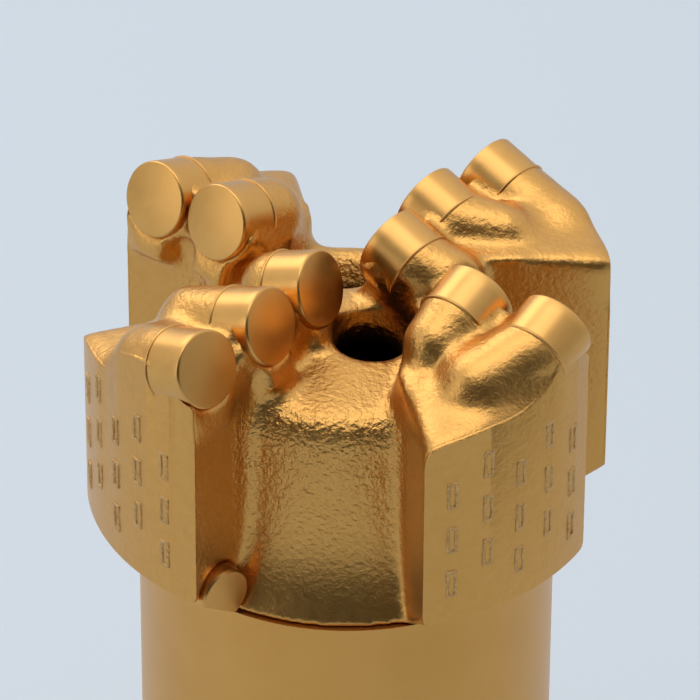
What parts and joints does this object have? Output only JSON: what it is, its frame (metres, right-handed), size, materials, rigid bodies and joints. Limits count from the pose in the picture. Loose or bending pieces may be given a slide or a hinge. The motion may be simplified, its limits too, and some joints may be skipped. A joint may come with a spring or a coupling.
{
  "type": "pdc drill bit",
  "caption": "Matrix-body PDC drill bit with brazed diamond cutters on raised blades, water ports, gauge pads and a tapered pin shank, painted gold.",
  "frame": {"origin": "centre of the pin's end face, on which the bit stands face up", "axes": "+Z along the bit axis from the pin to the cutting face; +X to the right and +Y away in the view that shows the widest junk slot"},
  "size_m": [0.0906, 0.0883, 0.1728],
  "materials": {
    "matrix_gold": "satin metallic gold paint over cast tungsten-carbide matrix",
    "steel_gold": "satin metallic gold paint over turned steel",
    "cutter_gold": "satin metallic gold paint over polycrystalline diamond and carbide",
    "brick_gold": "satin metallic gold paint over carbide bricks"
  },
  "bodies": {
    "root": {"crown": "matrix_gold", "steel_blank": "steel_gold", "weld_ring": "steel_gold", "pin_shank": "steel_gold", "blade_1_cutter_1_substrate": "cutter_gold", "blade_1_cutter_1_diamond_table": "cutter_gold", "blade_1_cutter_2_substrate": "cutter_gold", "blade_1_cutter_2_diamond_table": "cutter_gold", "blade_1_updrill_substrate": "cutter_gold", "blade_1_updrill_diamond_table": "cutter_gold", "blade_1_gauge_bricks": "brick_gold", "blade_2_cutter_1_substrate": "cutter_gold", "blade_2_cutter_1_diamond_table": "cutter_gold", "blade_2_cutter_2_substrate": "cutter_gold", "blade_2_cutter_2_diamond_table": "cutter_gold", "blade_2_cutter_3_substrate": "cutter_gold", "blade_2_cutter_3_diamond_table": "cutter_gold", "blade_2_updrill_substrate": "cutter_gold", "blade_2_updrill_diamond_table": "cutter_gold", "blade_2_gauge_bricks": "brick_gold", "blade_3_cutter_1_substrate": "cutter_gold", "blade_3_cutter_1_diamond_table": "cutter_gold", "blade_3_cutter_2_substrate": "cutter_gold", "blade_3_cutter_2_diamond_table": "cutter_gold", "blade_3_updrill_substrate": "cutter_gold", "blade_3_updrill_diamond_table": "cutter_gold", "blade_3_gauge_bricks": "brick_gold", "blade_4_cutter_1_substrate": "cutter_gold", "blade_4_cutter_1_diamond_table": "cutter_gold", "blade_4_cutter_2_substrate": "cutter_gold", "blade_4_cutter_2_diamond_table": "cutter_gold", "blade_4_cutter_3_substrate": "cutter_gold", "blade_4_cutter_3_diamond_table": "cutter_gold", "blade_4_updrill_substrate": "cutter_gold", "blade_4_updrill_diamond_table": "cutter_gold", "blade_4_gauge_bricks": "brick_gold"}
  },
  "joints": []
}
